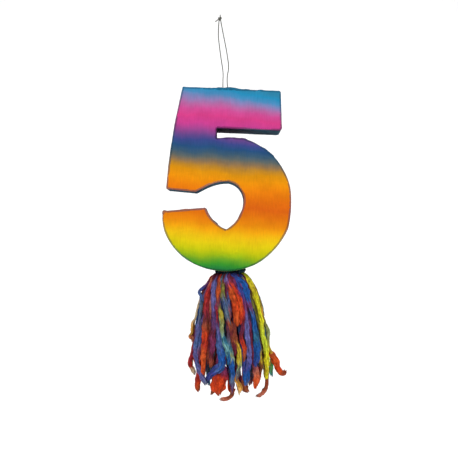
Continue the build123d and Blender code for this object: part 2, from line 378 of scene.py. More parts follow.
def rainbow_paper(name):
    """Crepe paper dyed in soft bands."""
    made = Nodes(name)
    dyed = banded_dye(made)
    worn = made.ramp(made.noise(420, 4, (1, 1, 0.1)), [(0.3, (0.9,) * 3), (0.62, (1.0,) * 3)])
    patches = made.ramp(made.noise(34, 3, (0.7, 1, 1)), [(0.35, (0.9,) * 3), (0.65, (1.0,) * 3)])
    colour = made.mix(1.0, made.mix(1.0, dyed, worn, "MULTIPLY"), patches, "MULTIPLY")
    normal = made.bump(crepe_grain(made), 0.45 * MM, 0.55)
    return made.finish(colour, 0.88, normal, Specular_IOR_Level=0.06)


def edge_paper(name):
    """The blue crepe of the sides, folded over the front and back, with purple dye and painted shade by the
    notch, and painted dark green shade by the bowl's bottom.
    """
    made = Nodes(name)
    cloud = made.noise(16, 3)
    base = made.ramp(cloud, [(0.3, srgb("17313f")), (0.5, srgb("1f475c")), (0.7, srgb("28586f"))])
    low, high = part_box("notch_wall")
    notch = tuple((low + high) / 2)
    away = made.add("ShaderNodeVectorMath", {0: made.place, 1: notch}, operation="DISTANCE").outputs["Value"]
    # By the notch the sides turn dark purple: purple dye and painted shade together.
    dye = made.ramp(away, [(0.05, (1.0,) * 3), (0.12, (0.0,) * 3)])
    base = made.mix(dye, base, srgb("1e0a30"))
    z = made.add("ShaderNodeSeparateXYZ", {0: made.place}).outputs[2]
    above_base = made.math("SUBTRACT", z, float(figure_base))
    # Painted shade: low on the bowl the sides turn dark green, like the shaded rounding of the green front.
    green = made.ramp(above_base, [(0.012, (1.0,) * 3), (0.04, (0.0,) * 3)])
    base = made.mix(green, base, srgb("15452f"))
    normal = made.add("ShaderNodeNewGeometry").outputs["Normal"]
    facing = made.add("ShaderNodeSeparateXYZ", {0: normal}).outputs[1]
    folded = made.ramp(made.math("ABSOLUTE", facing), [(0.3, (0.0,) * 3), (0.95, (0.45,) * 3)])
    base = made.mix(folded, base, banded_dye(made))
    worn = made.ramp(made.noise(500, 4, (1, 0.12, 1)), [(0.3, (0.72,) * 3), (0.65, (1.05,) * 3)])
    normal = made.bump(crepe_grain(made, (1, 0.12, 1)), 0.5 * MM, 0.7)
    colour = made.mix(1.0, base, worn, "MULTIPLY")
    return made.finish(colour, 0.88, normal, Specular_IOR_Level=0.08)


def board(name, light, dark):
    """Paper board with fibres and flecks."""
    made = Nodes(name)
    fibres = made.noise(700, 4, (0.15, 1, 1), 0.65)
    colour = made.ramp(fibres, [(0.3, srgb(dark)), (0.7, srgb(light))])
    flecks = made.ramp(made.noise(1800, 2), [(0.26, (0.62,) * 3), (0.34, (1.0,) * 3)])
    normal = made.bump(fibres, 0.1 * MM, 0.4)
    return made.finish(made.mix(1.0, colour, flecks, "MULTIPLY"), 0.9, normal)


def dowel_wood(name):
    """Pale birch, with its grain along the dowel."""
    made = Nodes(name)
    grain = made.noise(500, 4, (1, 0.05, 1), 0.6)
    colour = made.ramp(grain, [(0.3, srgb("a77f4f")), (0.55, srgb("c9a26c")), (0.75, srgb("d9ba88"))])
    return made.finish(colour, 0.6, made.bump(grain, 0.15 * MM, 0.5))


def twine(name, light, dark):
    """Cotton twine, with fibres along the yarn."""
    made = Nodes(name)
    fibres = made.noise(2600, 3, (1, 1, 0.2), 0.7)
    colour = made.ramp(fibres, [(0.3, srgb(dark)), (0.65, srgb(light))])
    return made.finish(colour, 0.9, made.bump(fibres, 0.12 * MM, 0.8), Specular_IOR_Level=0.1)


def streamer_paper(name):
    """Crepe strips in their tints, which carry their dye and painted shade, crinkled across and a little
    see-through.
    """
    made = Nodes(name)
    tint = made.add("ShaderNodeAttribute", attribute_name="tint").outputs["Color"]
    blot = made.ramp(made.noise(190, 4, (1, 1, 0.5), 0.65), [(0.32, (0.5,) * 3), (0.62, (1.1,) * 3)])
    fade = made.ramp(made.noise(700, 3, (1, 1, 0.3)), [(0.3, (0.78,) * 3), (0.7, (1.1,) * 3)])
    colour = made.mix(1.0, made.mix(1.0, tint, blot, "MULTIPLY"), fade, "MULTIPLY")
    crinkle = made.math("ADD", made.noise(850, 3, (1, 1, 0.45), 0.6), made.noise(300, 2))
    normal = made.bump(crinkle, 0.7 * MM, 0.8)
    return made.finish(
        colour,
        0.8,
        normal,
        Specular_IOR_Level=0.1,
        Subsurface_Weight=0.12,
        Subsurface_Scale=0.004,
    )


RAINBOW = rainbow_paper("rainbow_crepe")
EDGE = edge_paper("edge_crepe")
KRAFT = board("kraft_board", "b08a5e", "8a6840")
GREYBOARD = board("grey_board", "9b9184", "7c7368")
WOOD = dowel_wood("birch_dowel")
STRING_TWINE = twine("string_twine", "33322f", "181817")
KNOT_TWINE = twine("knot_twine", "74746c", "4c4c47")
DARK_TWINE = twine("dark_twine", "3a3f4c", "1c1f28")
STREAMER = streamer_paper("streamer_crepe")

CAD_MATERIALS = {
    "panel_board": KRAFT,
    "wall_board": GREYBOARD,
    "dowel_wood": WOOD,
    "string_twine": STRING_TWINE,
    "tassel_twine": DARK_TWINE,
    "rainbow_paper": RAINBOW,
    "edge_crepe": EDGE,
    "tassel_core_paper": EDGE,
    "streamer_crepe": STREAMER,
}
for subpart in frame["record"]["subparts"]:
    slots = nodes[subpart["node"]].data.materials
    slots.clear()
    slots.append(CAD_MATERIALS[subpart["material_slot"]])


# ---------------------------------------------------------------- figure's covers
def cover_relief(x, z):
    """How far the glued paper stands out: a slow swell, soft wrinkles, and creases along the grain."""
    swell = 0.9 * MM * ripple(x * 11, 0, z * 9, 1)
    wrinkle = 0.9 * MM * max(0, 1 - 7 * abs(ripple(x * 13, 0, z * 19, 4))) ** 2
    grain = 0.4 * MM * ripple(x * 150, 0, z * 13, 2)
    fine = 0.14 * MM * ripple(x * 420, 0, z * 45, 3)
    return swell + wrinkle + grain + fine


def distance_to(points, loop):
    """How far each point is from a closed loop."""
    near = np.full(len(points), 1.0)
    block = 4000
    for start in range(0, len(points), block):
        some = points[start : start + block]
        apart = np.linalg.norm(some[:, None, :] - loop[None, ::3, :], axis=2)
        near[start : start + block] = apart.min(axis=1)
    return near


COVER_STEP = 2.2 * MM
COVER_PAPER = 0.5 * MM
COVER_SOFT_EDGE = 7 * MM  # how wide the rounded rim of a papered face is


def flat_cover(name, outer, holes, y, facing):
    """A papered face inside an outline, at depth y, facing the front (-1) or the back (+1)."""
    low, high = outer.min(axis=0), outer.max(axis=0)
    columns = np.arange(low[0], high[0], COVER_STEP)
    rows = np.arange(low[1], high[1], COVER_STEP)
    grid = np.array([(x + (k % 2) * COVER_STEP / 2, z) for k, z in enumerate(rows) for x in columns])
    grid = grid[inside(grid, outer)]
    rings = [outer, *holes]
    for ring in rings:
        grid = grid[distance_to(grid, ring) > COVER_STEP * 0.7]
    for hole in holes:
        grid = grid[~inside(grid, hole)]
    points, edges = [], []
    for ring in rings:
        first = len(points)
        points += [tuple(p) for p in ring]
        edges += [(first + i, first + (i + 1) % len(ring)) for i in range(len(ring))]
    points += [tuple(p) for p in grid]
    flat, _, faces, *_ = delaunay_2d_cdt([Vector(p) for p in points], edges, [], 0, 1e-7)
    flat = np.array([(p.x, p.y) for p in flat])
    centres = flat[np.array(faces)].mean(axis=1)
    keep = inside(centres, outer)
    for hole in holes:
        keep &= ~inside(centres, hole)
    rim = np.minimum.reduce([distance_to(flat, ring) for ring in rings])
    soft = np.clip(rim / COVER_SOFT_EDGE, 0, 1)
    drop = 0.7 * MM * (1 - soft) ** 2
    relief = np.array([cover_relief(x, z) for x, z in flat]) * (0.25 + 0.75 * soft)
    verts = np.column_stack([flat[:, 0], y + facing * (COVER_PAPER + relief - drop), flat[:, 1]])
    turned = [f if facing > 0 else f[::-1] for f, kept in zip(faces, keep) if kept]
    piece = make_object(name, verts, turned, RAINBOW)
    aim = np.mean([p.normal.y for p in piece.data.polygons])
    if aim * facing < 0:
        piece.data.flip_normals()
    thicken(piece, COVER_PAPER, -1)
    return piece


UNDER_LIP = 2.3 * MM  # how far inside the outline the covers end, under the folded lips
FLAP_EDGE_STEP = 1.5 * MM
tucked = figure_outline - outward(figure_outline) * UNDER_LIP
tucked_outline = evenly(tucked, 1.8 * MM)
flap_hole = evenly(outlines("back_paper")[1], FLAP_EDGE_STEP)

front_cover = flat_cover("front_cover", tucked_outline, [], front_y, -1)
stands_for(front_cover, "front_paper", "shell")

back_cover = flat_cover("back_cover", tucked_outline, [flap_hole], back_y, 1)
stands_for(back_cover, "back_paper", "shell")

flap_edge = evenly(outlines("flap_paper")[0], FLAP_EDGE_STEP)
flap_cover = flat_cover("flap_cover", flap_edge, [], back_y, 1)
stands_for(flap_cover, "flap_paper", "flap")


# ---------------------------------------------------------------- side papers
EDGE_RADIUS = 2.4 * MM
LIP_LIFT = 0.35 * MM
LIP_POINTS, EDGE_POINTS, SIDE_POINTS = 3, 5, 25  # of the profile: on a lip, round an edge, across the side


def side_profile():
    """(offset out of the outline, depth, direction out of the paper) from the front lip to the back lip."""
    front_half = []
    for t in np.linspace(0, 1, LIP_POINTS + 1)[:-1]:
        front_half.append((-lip + t * (lip - EDGE_RADIUS), front_y - LIP_LIFT, (0, -1)))
    for t in np.linspace(0, math.pi / 2, EDGE_POINTS):
        offset = EDGE_RADIUS * (math.sin(t) - 1)
        y = front_y + EDGE_RADIUS - LIP_LIFT - EDGE_RADIUS * math.cos(t)
        front_half.append((offset, y, (math.sin(t), -math.cos(t))))
    first, last = front_y + EDGE_RADIUS, back_y - EDGE_RADIUS
    sides = [(0.0, first + (last - first) * t, (1, 0)) for t in np.linspace(0, 1, SIDE_POINTS)[1:-1]]
    mirrored = [(o, front_y + back_y - y, (n[0], -n[1])) for o, y, n in reversed(front_half)]
    return front_half + sides + mirrored


PROFILE = side_profile()


def curving(loop, reach=6):
    """How sharply a loop turns at each point, in radians per metre, positive where it bulges out."""
    back, ahead = np.roll(loop, reach, axis=0), np.roll(loop, -reach, axis=0)
    a, b = loop - back, ahead - loop
    cross = a[:, 0] * b[:, 1] - a[:, 1] * b[:, 0]
    angle = np.arctan2(cross, (a * b).sum(axis=1))
    return angle / np.linalg.norm(a, axis=1) * (1 if area_of(loop) > 0 else -1)


TUCK = 5.5 * MM  # how high the loose tucks in the paper on top stand
STRING_BUMP = 2.4 * MM  # how far the top paper is drawn up where the strings come out
STRING_BUMP_REACH = 0.03
STRING_HOLES_X = 0.0162
FIGURE_HALFWAY = -0.3
SIDE_PAPERS = ["side_paper_" + place for place in ("stem", "top", "flag", "bowl", "counter")]


def runs_of_outline():
    """Which stretch of the figure's outline each side paper covers, as lists of point numbers in order."""
    trees = []
    for node in SIDE_PAPERS:
        mesh = merged(node)
        trees.append(BVHTree.FromBMesh(mesh))
        mesh.free()
    owner = []
    for x, z in figure_outline:
        apart = [tree.find_nearest(Vector((x, 0, z)))[3] for tree in trees]
        owner.append(int(np.argmin(apart)))
    count = len(owner)
    stretches = {}
    for k, node in enumerate(SIDE_PAPERS):
        mine = [i for i in range(count) if owner[i] == k]
        start = next(i for i in mine if owner[i - 1] != k)
        stretches[node] = [(start + j) % count for j in range(len(mine))]
    return stretches


def side_paper(node, run, seed):
    """One wrapped strip of crepe, with a lap over the next strip, pleated lips and crinkled sides."""
    normals, bends = outward(figure_outline), curving(figure_outline)
    lap = 5
    last = len(PROFILE) - 1
    count = len(figure_outline)
    run = [(run[0] - 1) % count, *run, *[(run[-1] + k) % count for k in range(1, lap + 1)]]
    verts = []
    for step, i in enumerate(run):
        x, z = figure_outline[i]
        out_x, out_z = normals[i]
        along = i * OUTLINE_STEP
        lapped = 0.45 * MM * min(1.0, max(0, step - (len(run) - lap - 4)) / 4)
        pleat = min(1.0, abs(bends[i]) / 25)
        for j, (offset, y, (n_out, n_y)) in enumerate(PROFILE):
            on_lip = min(j, last - j) < LIP_POINTS
            swell = 0.8 * MM * ripple(along * 22, y * 18, 0, seed)
            crinkle = 0.4 * MM * ripple(along * 190, y * 24, 0, seed + 1)
            folds = (0.2 + 0.5 * pleat) * MM * abs(ripple(along * 130, 0, 0, seed + 2)) * (abs(n_y) > 0.3)
            tuck = TUCK * max(0, ripple(along * 42, y * 9, 0, 77) - 0.08) * max(0, out_z) * max(0, n_out)
            drawn_up = math.exp(-(((x - STRING_HOLES_X) / STRING_BUMP_REACH) ** 2)) * max(0, out_z) ** 8
            tuck += STRING_BUMP * drawn_up * max(0, n_out) * (z > FIGURE_HALFWAY)
            stand = lapped + crinkle * 0.7 + folds + tuck + (0.3 if on_lip else 1.0) * swell
            stand = max(stand, -0.25 * MM)
            ragged = 0.9 * MM * ripple(along * 60, 0, y, seed + 3) if j in (0, last) else 0
            reach = offset + ragged + n_out * stand
            verts.append((x + out_x * reach, y + n_y * stand, z + out_z * reach))
    faces = grid_faces(len(run), len(PROFILE))
    piece = make_object(node.replace("side_paper", "side_wrap"), verts, faces, EDGE)
    thicken(piece, 0.3 * MM, -1)
    stands_for(piece, node, "shell")


for number, (side_node, stretch) in enumerate(runs_of_outline().items()):
    side_paper(side_node, stretch, 20 + 5 * number)


# ---------------------------------------------------------------- hanging string
STRING = 2 * MM
LEFT_ROUTE = [
    (0.00901, 0, -0.19550),
    (0.0082, 0.0006, -0.172),
    (0.0099, 0.0010, -0.143),
    (0.0036, -0.0006, -0.106),
    (-0.0016, -0.0014, -0.067),
    (-0.0052, -0.0004, -0.032),
    (-0.0018, 0, 0.0045),
]
RIGHT_ROUTE = [
    (0.02350, 0, -0.19612),
    (0.0203, -0.0008, -0.176),
    (0.0206, -0.0012, -0.152),
    (0.0256, 0.0004, -0.130),
    (0.0208, 0.0016, -0.094),
    (0.0158, 0.0010, -0.066),
    (0.0084, -0.0004, -0.031),
    (0.0019, 0, 0.0045),
]


def line_of(route):
    """The points of the smooth line through a route's control points."""
    curve = bpy.data.curves.new("route", "CURVE")
    curve.dimensions = "3D"
    spline = curve.splines.new("NURBS")
    spline.points.add(len(route) - 1)
    for point, place in zip(spline.points, route):
        point.co = (*place, 1)
    spline.order_u = 3
    spline.use_endpoint_u = True
    spline.resolution_u = 24
    holder = bpy.data.objects.new("route", curve)
    bpy.context.scene.collection.objects.link(holder)
    bpy.context.view_layer.update()
    mesh = bpy.data.meshes.new_from_object(holder)
    line = np.array([v.co for v in mesh.vertices])
    bpy.data.objects.remove(holder)
    bpy.data.curves.remove(curve)
    bpy.data.meshes.remove(mesh)
    return line


def spaced(line, step):
    """A line with points a step apart."""
    along = np.concatenate([[0], np.cumsum(np.linalg.norm(np.diff(line, axis=0), axis=1))])
    at = np.linspace(0, along[-1], max(2, int(round(along[-1] / step)) + 1))
    return np.column_stack([np.interp(at, along, line[:, i]) for i in range(3)])


def frames_along(line, side=None):
    """A tangent and two steady side directions at each point of a line, the first near side if given."""
    tangents = np.gradient(line, axis=0)
    tangents /= np.linalg.norm(tangents, axis=1)[:, None]
    side = np.cross(tangents[0], (0.31, 0.9, 0.2)) if side is None else side
    sides, ups = [], []
    for tangent in tangents:
        side = side - tangent * (side @ tangent)
        side /= np.linalg.norm(side)
        sides.append(side)
        ups.append(np.cross(tangent, side))
    return tangents, np.array(sides), np.array(ups)


YARNS, YARN_SIDES = 3, 8
YARN_STEP = 0.5 * MM
LAY_LENGTH = 5 * MM  # of one full twist
YARN_RADIUS, YARN_OFFSET = 0.35, 0.29  # as shares of the twine's diameter


def twisted(line, diameter):
    """Points and faces of yarns laid together along a line, as twine is."""
    line = spaced(line, YARN_STEP)
    _, side, up = frames_along(line)
    along = np.arange(len(line)) * YARN_STEP
    yarn = diameter * YARN_RADIUS
    verts, faces = [], []
    for strand in range(YARNS):
        lay = 2 * math.pi * (along / LAY_LENGTH + strand / YARNS)
        out = np.cos(lay)[:, None] * side + np.sin(lay)[:, None] * up
        centre = line + out * diameter * YARN_OFFSET
        _, tube_a, tube_b = frames_along(centre)
        first = len(verts)
        for k in range(len(line)):
            for s in range(YARN_SIDES):
                a = 2 * math.pi * s / YARN_SIDES
                verts.append(centre[k] + yarn * (math.cos(a) * tube_a[k] + math.sin(a) * tube_b[k]))
        faces += shifted(grid_faces(len(line), YARN_SIDES, True), first)
        last = first + (len(line) - 1) * YARN_SIDES
        faces.append(tuple(first + s for s in reversed(range(YARN_SIDES))))
        faces.append(tuple(last + s for s in range(YARN_SIDES)))
    return verts, faces


def knot_line(centre, size):
    """An overhand knot, drawn tight, as a closed line."""
    line = []
    for t in np.linspace(0, 2 * math.pi, 90):
        line.append(
            (
                centre.x + size * (math.sin(t) + 2 * math.sin(2 * t)) / 3,
                centre.y + size * 0.9 * math.sin(3 * t) / 1.6,
                centre.z + size * (math.cos(t) - 2 * math.cos(2 * t)) / 3,
            )
        )
    return np.array(line)


KNOT_CENTRE = Vector((0, 0, 0.007))
KNOT_SIZES = (4.4 * MM, 3 * MM, 1.6 * MM)
KNOT_STRING = STRING * 1.1
TAILS = [  # the two cut ends, from the knot's centre
    [(0.0014, 0.001, 0.005), (0.0012, 0, 0.0105)],
    [(-0.0052, -0.001, -0.0032), (-0.0126, 0, -0.0086)],
]
knot_verts, knot_faces = [], []
knot_lines = [knot_line(KNOT_CENTRE, size) for size in KNOT_SIZES]
knot_lines += [line_of([KNOT_CENTRE, *[KNOT_CENTRE + Vector(p) for p in tail]]) for tail in TAILS]
for knot_part in knot_lines:
    part_verts, part_faces = twisted(knot_part, KNOT_STRING)
    knot_faces += shifted(part_faces, len(knot_verts))
    knot_verts += part_verts
knot = make_object("string_knot", knot_verts, knot_faces, KNOT_TWINE)
stands_for(knot, "loop_knot", "hang_loop")


def hanging_string(name, node, route):
    """One strand of the hanging loop, from its hole to the knot."""
    line = line_of(route)
    verts, faces = twisted(line, STRING)
    piece = make_object(name, verts, faces, STRING_TWINE)
    stands_for(piece, node, "hang_loop")


hanging_string("string_left", "cord_left", LEFT_ROUTE)
hanging_string("string_right", "cord_right", RIGHT_ROUTE)


# ---------------------------------------------------------------- tassel
COLOURS = {
    "red": srgb("b43025"),
    "crimson": srgb("a02a36"),
    "scarlet": srgb("cf4019"),
    "orange": srgb("cf5223"),
    "rust": srgb("9a4a32"),
    "brown": srgb("7a4826"),
    "maroon": srgb("6a2333"),
    "plum": srgb("7c3058"),
    "purple": srgb("5e3f72"),
    "violet": srgb("64609c"),
    "indigo": srgb("3b4692"),
    "slate": srgb("4d659c"),
    "steel": srgb("5c6c80"),
    "blue": srgb("20559f"),
    "navy": srgb("203358"),
    "teal": srgb("35718a"),
    "mint": srgb("84b4ae"),
    "green": srgb("4c9a58"),
    "sage": srgb("98a46a"),
    "olive": srgb("85803a"),
    "lime": srgb("d3dc38"),
    "yellow": srgb("e8da26"),
    "gold": srgb("cdb02c"),
    "amber": srgb("dc9c40"),
    "sand": srgb("dfc29c"),
    "salmon": srgb("c87058"),
    "grey": srgb("786a60"),
}

# How wide the tassel is: (depth below the bowl, radius of the outer strips' middles), in millimetres
SPREAD = [
    (5.5, 0),
    (6.5, 22),
    (8, 33),
    (12, 42),
    (20, 53),
    (29, 61),
    (41, 68),
    (56, 76),
    (76, 84),
    (100, 91),
    (137, 97),
    (160, 102),
    (185, 106),
    (240, 110),
    (360, 112),
]
Strip = namedtuple("Strip", "path widths colours layer", defaults=(1.0,))

# The strips that show from the front, by bundle. A path goes from the head to the strip's end, in
# millimetres to the right of the tassel's axis and down from the bowl. Widths, in millimetres, and colours
# run evenly along it. Layer is how far out the strip lies, 1 for the tassel's outside.
STRIPS = {
    "streamer_left": [
        Strip(
            ((-56, 26), (-76, 58), (-88, 92), (-93, 115), (-95, 132), (-102, 145), (-104, 160), (-104, 172),
             (-109, 184), (-102, 191), (-108, 199)),
            (7, 6, 6, 6, 12, 14, 13, 11, 7),
            "maroon maroon sand sand sand amber amber amber rust salmon brown",
        ),
        Strip(
            ((-54, 30), (-78, 90), (-90, 160), (-97, 200), (-104, 225), (-109, 245), (-112, 258),
             (-107, 271), (-102, 282), (-98, 293)),
            (8, 9, 10, 13, 16, 15, 11, 7),
            "plum slate slate plum crimson crimson red red sand grey",
            0.97,
        ),
        Strip(
            ((-50, 36), (-72, 120), (-84, 200), (-88, 260), (-91, 300), (-92, 318), (-90, 330), (-86, 341)),
            (8, 9, 10, 13, 16, 18, 16, 9),
            "maroon purple slate red red scarlet orange rust",
            0.94,
        ),
    ],
    "streamer_front_left": [
        Strip(
            ((-47, 22), (-64, 38), (-76, 50), (-85, 60), (-80, 74), (-81, 98), (-85, 128), (-86, 160),
             (-91, 191), (-97, 209), (-97, 224), (-94, 245), (-90, 265), (-85, 280), (-76, 302), (-67, 322)),
            (9, 10, 11, 12, 12, 11, 11, 13, 15, 17, 17, 15, 15, 15, 15, 10),
            "maroon plum indigo slate slate steel steel violet slate slate violet violet slate violet "
            "violet steel",
        ),
        Strip(
            ((-44, 14), (-52, 30), (-59, 52), (-65, 73), (-68, 102), (-68, 129), (-70, 155), (-70, 182),
             (-72, 209), (-75, 235), (-74, 260), (-73, 284), (-73, 298)),
            (10, 12, 13, 16, 17, 18, 20, 20, 20, 19, 18, 16, 9),
            "rust salmon crimson red crimson maroon rust scarlet red orange orange scarlet rust",
        ),
        Strip(
            ((-37, 16), (-44, 34), (-47, 52), (-47, 75), (-47, 98), (-46, 120), (-48, 146), (-50, 173),
             (-50, 200), (-50, 217), (-52, 240), (-54, 257), (-55, 274)),
            (11, 13, 14, 15, 14, 12, 13, 14, 16, 16, 14, 13, 8),
            "maroon violet violet violet violet purple purple maroon plum plum maroon rust rust",
        ),
        Strip(
            ((-32, 26), (-48, 60), (-54, 100), (-56, 140), (-57, 160), (-58, 185), (-59, 209), (-61, 240),
             (-62, 264)),
            (10, 10, 11, 12, 12, 12, 8),
            "maroon purple salmon maroon rust maroon maroon rust maroon",
            0.93,
        ),
        Strip(
            ((-30, 30), (-38, 66), (-37, 100), (-37, 118), (-39, 134), (-36, 150), (-34, 166), (-32, 191),
             (-29, 217), (-23, 237), (-22, 254), (-29, 269), (-41, 279), (-52, 288), (-60, 300), (-62, 316)),
            (9, 11, 13, 13, 12, 12, 13, 15, 17, 19, 20, 20, 19, 18, 17, 11),
            "maroon rust plum crimson crimson purple violet slate slate blue blue slate indigo indigo "
            "indigo navy",
            0.96,
        ),
    ],
    "streamer_front": [
        Strip(
            ((-12, 22), (-6, 40), (3, 58), (9, 80), (13, 104), (16, 126), (19, 145), (21, 158)),
            (11, 15, 17, 17, 17, 15, 8),
            "violet plum orange orange scarlet orange orange orange",
        ),
        Strip(
            ((-4, 26), (6, 46), (16, 62), (23, 82), (28, 104), (29, 124), (27, 142), (24, 156)),
            (11, 14, 16, 16, 15, 14, 8),
            "plum scarlet red scarlet orange scarlet red scarlet",
            0.985,
        ),
        Strip(
            ((-27, 16), (-31, 34), (-33, 54), (-35, 74), (-33, 92), (-29, 108), (-25, 124), (-23, 140),
             (-22, 164), (-21, 195)),
            (9, 11, 12, 9, 9, 12, 14, 13, 6),
            "red rust orange rust plum olive gold sage sage mint",
        ),
        Strip(
            ((-17, 22), (-20, 44), (-20, 66), (-15, 90), (-10, 114), (-5, 135), (-1, 150), (2, 166)),
            (9, 9, 10, 12, 13, 11, 8),
            "maroon olive olive slate steel steel rust rust",
        ),
        Strip(
            ((-24, 30), (-28, 90), (-26, 140), (-21, 180), (-16, 200), (-11, 217), (-6, 235), (-5, 250),
             (-9, 267)),
            (8, 9, 11, 13, 15, 15, 14, 9),
            "steel navy navy teal teal mint teal blue teal",
            # Its mint stretch is a painted highlight on the teal.
            0.96,
        ),
        Strip(
            ((-5, 34), (-4, 90), (-4, 130), (1, 152), (4, 172), (5, 191), (10, 209), (14, 226), (14, 242)),
            (9, 10, 12, 13, 13, 13, 12, 8),
            "maroon slate rust rust maroon rust maroon maroon maroon",
            0.95,
        ),
        Strip(
            ((2, 34), (8, 120), (14, 190), (24, 221), (26, 246), (25, 268), (21, 286), (17, 303), (22, 316),
             (25, 330), (23, 350)),
            (9, 9, 11, 13, 12, 9, 11, 12, 7),
            "maroon maroon rust gold gold sage steel brown amber amber sand",
            0.955,
        ),
        Strip(
            ((-8, 36), (-6, 150), (-1, 222), (3, 246), (4, 265), (6, 285), (4, 305), (3, 325), (5, 342),
             (-2, 353), (-15, 358), (-34, 359)),
            (9, 10, 12, 13, 13, 12, 11, 10, 10, 9, 9, 7),
            "plum maroon teal sage blue blue steel purple brown rust salmon grey",
            0.94,
        ),
        Strip(
            ((-14, 36), (-20, 100), (-24, 170), (-25, 240), (-22, 272), (-24, 288), (-29, 303), (-33, 318),
             (-33, 332), (-30, 352)),
            (9, 9, 9, 9, 20, 34, 38, 38, 32, 12),
            "maroon navy purple maroon plum crimson scarlet scarlet scarlet rust",
            0.9,
        ),
        Strip(
            ((-24, 44), (-30, 160), (-34, 250), (-38, 290), (-42, 312), (-46, 330), (-54, 351)),
            (8, 8, 8, 13, 18, 15, 6),
            "maroon maroon plum crimson scarlet rust brown",
            0.87,
        ),
    ],
    "streamer_front_right": [
        Strip(
            ((38, 12), (50, 26), (61, 48), (70, 72), (77, 98), (82, 124), (86, 150), (89, 178), (95, 206),
             (100, 230), (101, 256), (101, 282), (101, 306)),
            (15, 18, 19, 18, 18, 20, 20, 20, 21, 21, 20, 15),
            "lime yellow gold yellow yellow yellow yellow lime lime yellow yellow gold yellow",
        ),
        Strip(
            ((6, 14), (22, 24), (36, 36), (43, 56), (47, 77), (52, 95), (58, 113), (62, 130), (66, 155),
             (71, 182), (73, 209), (74, 235), (71, 262), (70, 274)),
            (12, 15, 17, 18, 16, 14, 14, 16, 17, 18, 18, 17, 16, 9),
            "indigo indigo blue blue blue plum slate blue blue teal blue blue indigo slate",
        ),
        Strip(
            ((18, 28), (33, 66), (40, 104), (42, 137), (43, 164), (49, 191), (53, 217), (52, 244),
             (49, 268), (45, 290), (44, 306), (46, 324)),
            (11, 12, 13, 14, 15, 16, 17, 18, 20, 20, 12),
            "indigo indigo plum violet violet violet violet violet indigo blue blue slate",
            0.985,
        ),
        Strip(
            ((26, 34), (43, 84), (51, 120), (55, 155), (58, 190), (60, 230), (66, 260), (71, 286),
             (71, 308), (70, 334)),
            (10, 11, 12, 12, 12, 14, 18, 20, 20, 12),
            "plum maroon navy plum maroon maroon plum salmon orange scarlet",
            0.94,
        ),
        Strip(
            ((10, 32), (24, 70), (31, 102), (35, 121), (37, 140), (33, 164), (29, 185), (34, 203),
             (39, 219), (39, 237), (37, 257)),
            (10, 13, 14, 13, 12, 11, 12, 12, 8),
            "plum plum red red maroon plum maroon red scarlet rust rust",
            0.965,
        ),
        Strip(
            ((14, 44), (26, 160), (36, 260), (40, 300), (41, 322), (46, 333), (53, 340)),
            (8, 10, 13, 17, 15, 8),
            "maroon navy indigo rust brown rust brown",
            0.92,
        ),
    ],
    "streamer_right": [
        Strip(
            ((50, 20), (66, 44), (78, 78), (86, 110), (92, 140), (100, 160), (103, 174), (103, 191),
             (108, 217), (114, 238), (113, 262), (113, 280), (116, 300)),
            (8, 9, 9, 9, 11, 14, 15, 11, 9, 9, 12, 12, 7),
            "olive brown olive amber olive sage sage sage gold amber green green teal",
        ),
        Strip(
            ((46, 36), (76, 120), (92, 190), (104, 224), (118, 239), (126, 254), (131, 270), (140, 282),
             (150, 284), (154, 275)),
            (8, 9, 11, 15, 20, 21, 19, 18, 16, 9),
            "maroon olive maroon rust orange orange scarlet orange rust rust",
            0.95,
        ),
        Strip(
            ((42, 40), (76, 140), (92, 220), (99, 268), (102, 300), (101, 318), (95, 334), (82, 346),
             (67, 351)),
            (8, 9, 10, 11, 12, 12, 12, 8),
            "olive olive brown brown rust rust rust salmon grey",
            0.93,
        ),
        Strip(
            ((42, 44), (68, 140), (79, 200), (84, 240), (86, 262), (83, 288)),
            (8, 9, 11, 12, 8),
            # Its brown end is painted shadow between the blue and the yellow strips.
            "indigo navy navy gold brown brown",
            0.94,
        ),
    ],
}
DEEP = ["maroon", "purple", "navy", "teal", "rust", "indigo", "plum", "steel"]
BRIGHT = ["red", "scarlet", "blue", "slate", "violet", "yellow", "orange", "teal", "amber", "olive", "plum"]
OUTER_ARCS = (-17, -8.5, 0, 8.5, 17)  # where the strips of a bundle hang, in degrees from its middle
INNER_ARCS = (-13, -4.5, 4.5, 13)
OUTER_LAYER = 0.85  # a strip on a layer above this can be seen
FINE_COLUMNS, COARSE_COLUMNS = 19, 13  # points across a strip that can be seen, and one that can't
LOOSE_LENGTHS = {"streamer_left": (255, 285), "streamer_right": (240, 270)}
LOOSE_LENGTH, CORE_LENGTH = (285, 330), (290, 335)
LONGEST = 350  # the strip at the back that hangs lowest
STEP = 2.4 * MM
TIE_GRIP = 2.2  # millimetres from the axis where the strips start
FLATNESS = 0.8  # how deep the tassel is from front to back, for its width
# The eye in front, from the tassel's axis and the bowl, in millimetres
EYE_X, EYE_DEPTH, EYE_DISTANCE = -4, -115, 1800


def spread(depth):
    """The tassel's radius at a depth below the bowl, in millimetres."""
    depths, radii = zip(*SPREAD)
    return float(np.interp(depth, depths, radii))


def smooth_line(points, step):
    """A line that curves through its points, with even steps. More columns than x, y and z ride along."""
    points = np.array(points, float)
    padded = np.vstack([2 * points[0] - points[1], points, 2 * points[-1] - points[-2]])
    line = []
    for a, b, c, d in zip(padded, padded[1:], padded[2:], padded[3:]):
        for t in np.linspace(0, 1, 16, endpoint=False):
            square, cube = t**2, t**3
            bend = (2 * a - 5 * b + 4 * c - d) * square + (3 * b - a - 3 * c + d) * cube
            line.append(0.5 * (2 * b + (c - a) * t + bend))
    line.append(points[-1])
    line = np.array(line)
    along = np.concatenate([[0], np.cumsum(np.linalg.norm(np.diff(line[:, :3], axis=0), axis=1))])
    at = np.arange(0, along[-1], step)
    return np.column_stack([np.interp(at, along, line[:, i]) for i in range(line.shape[1])])


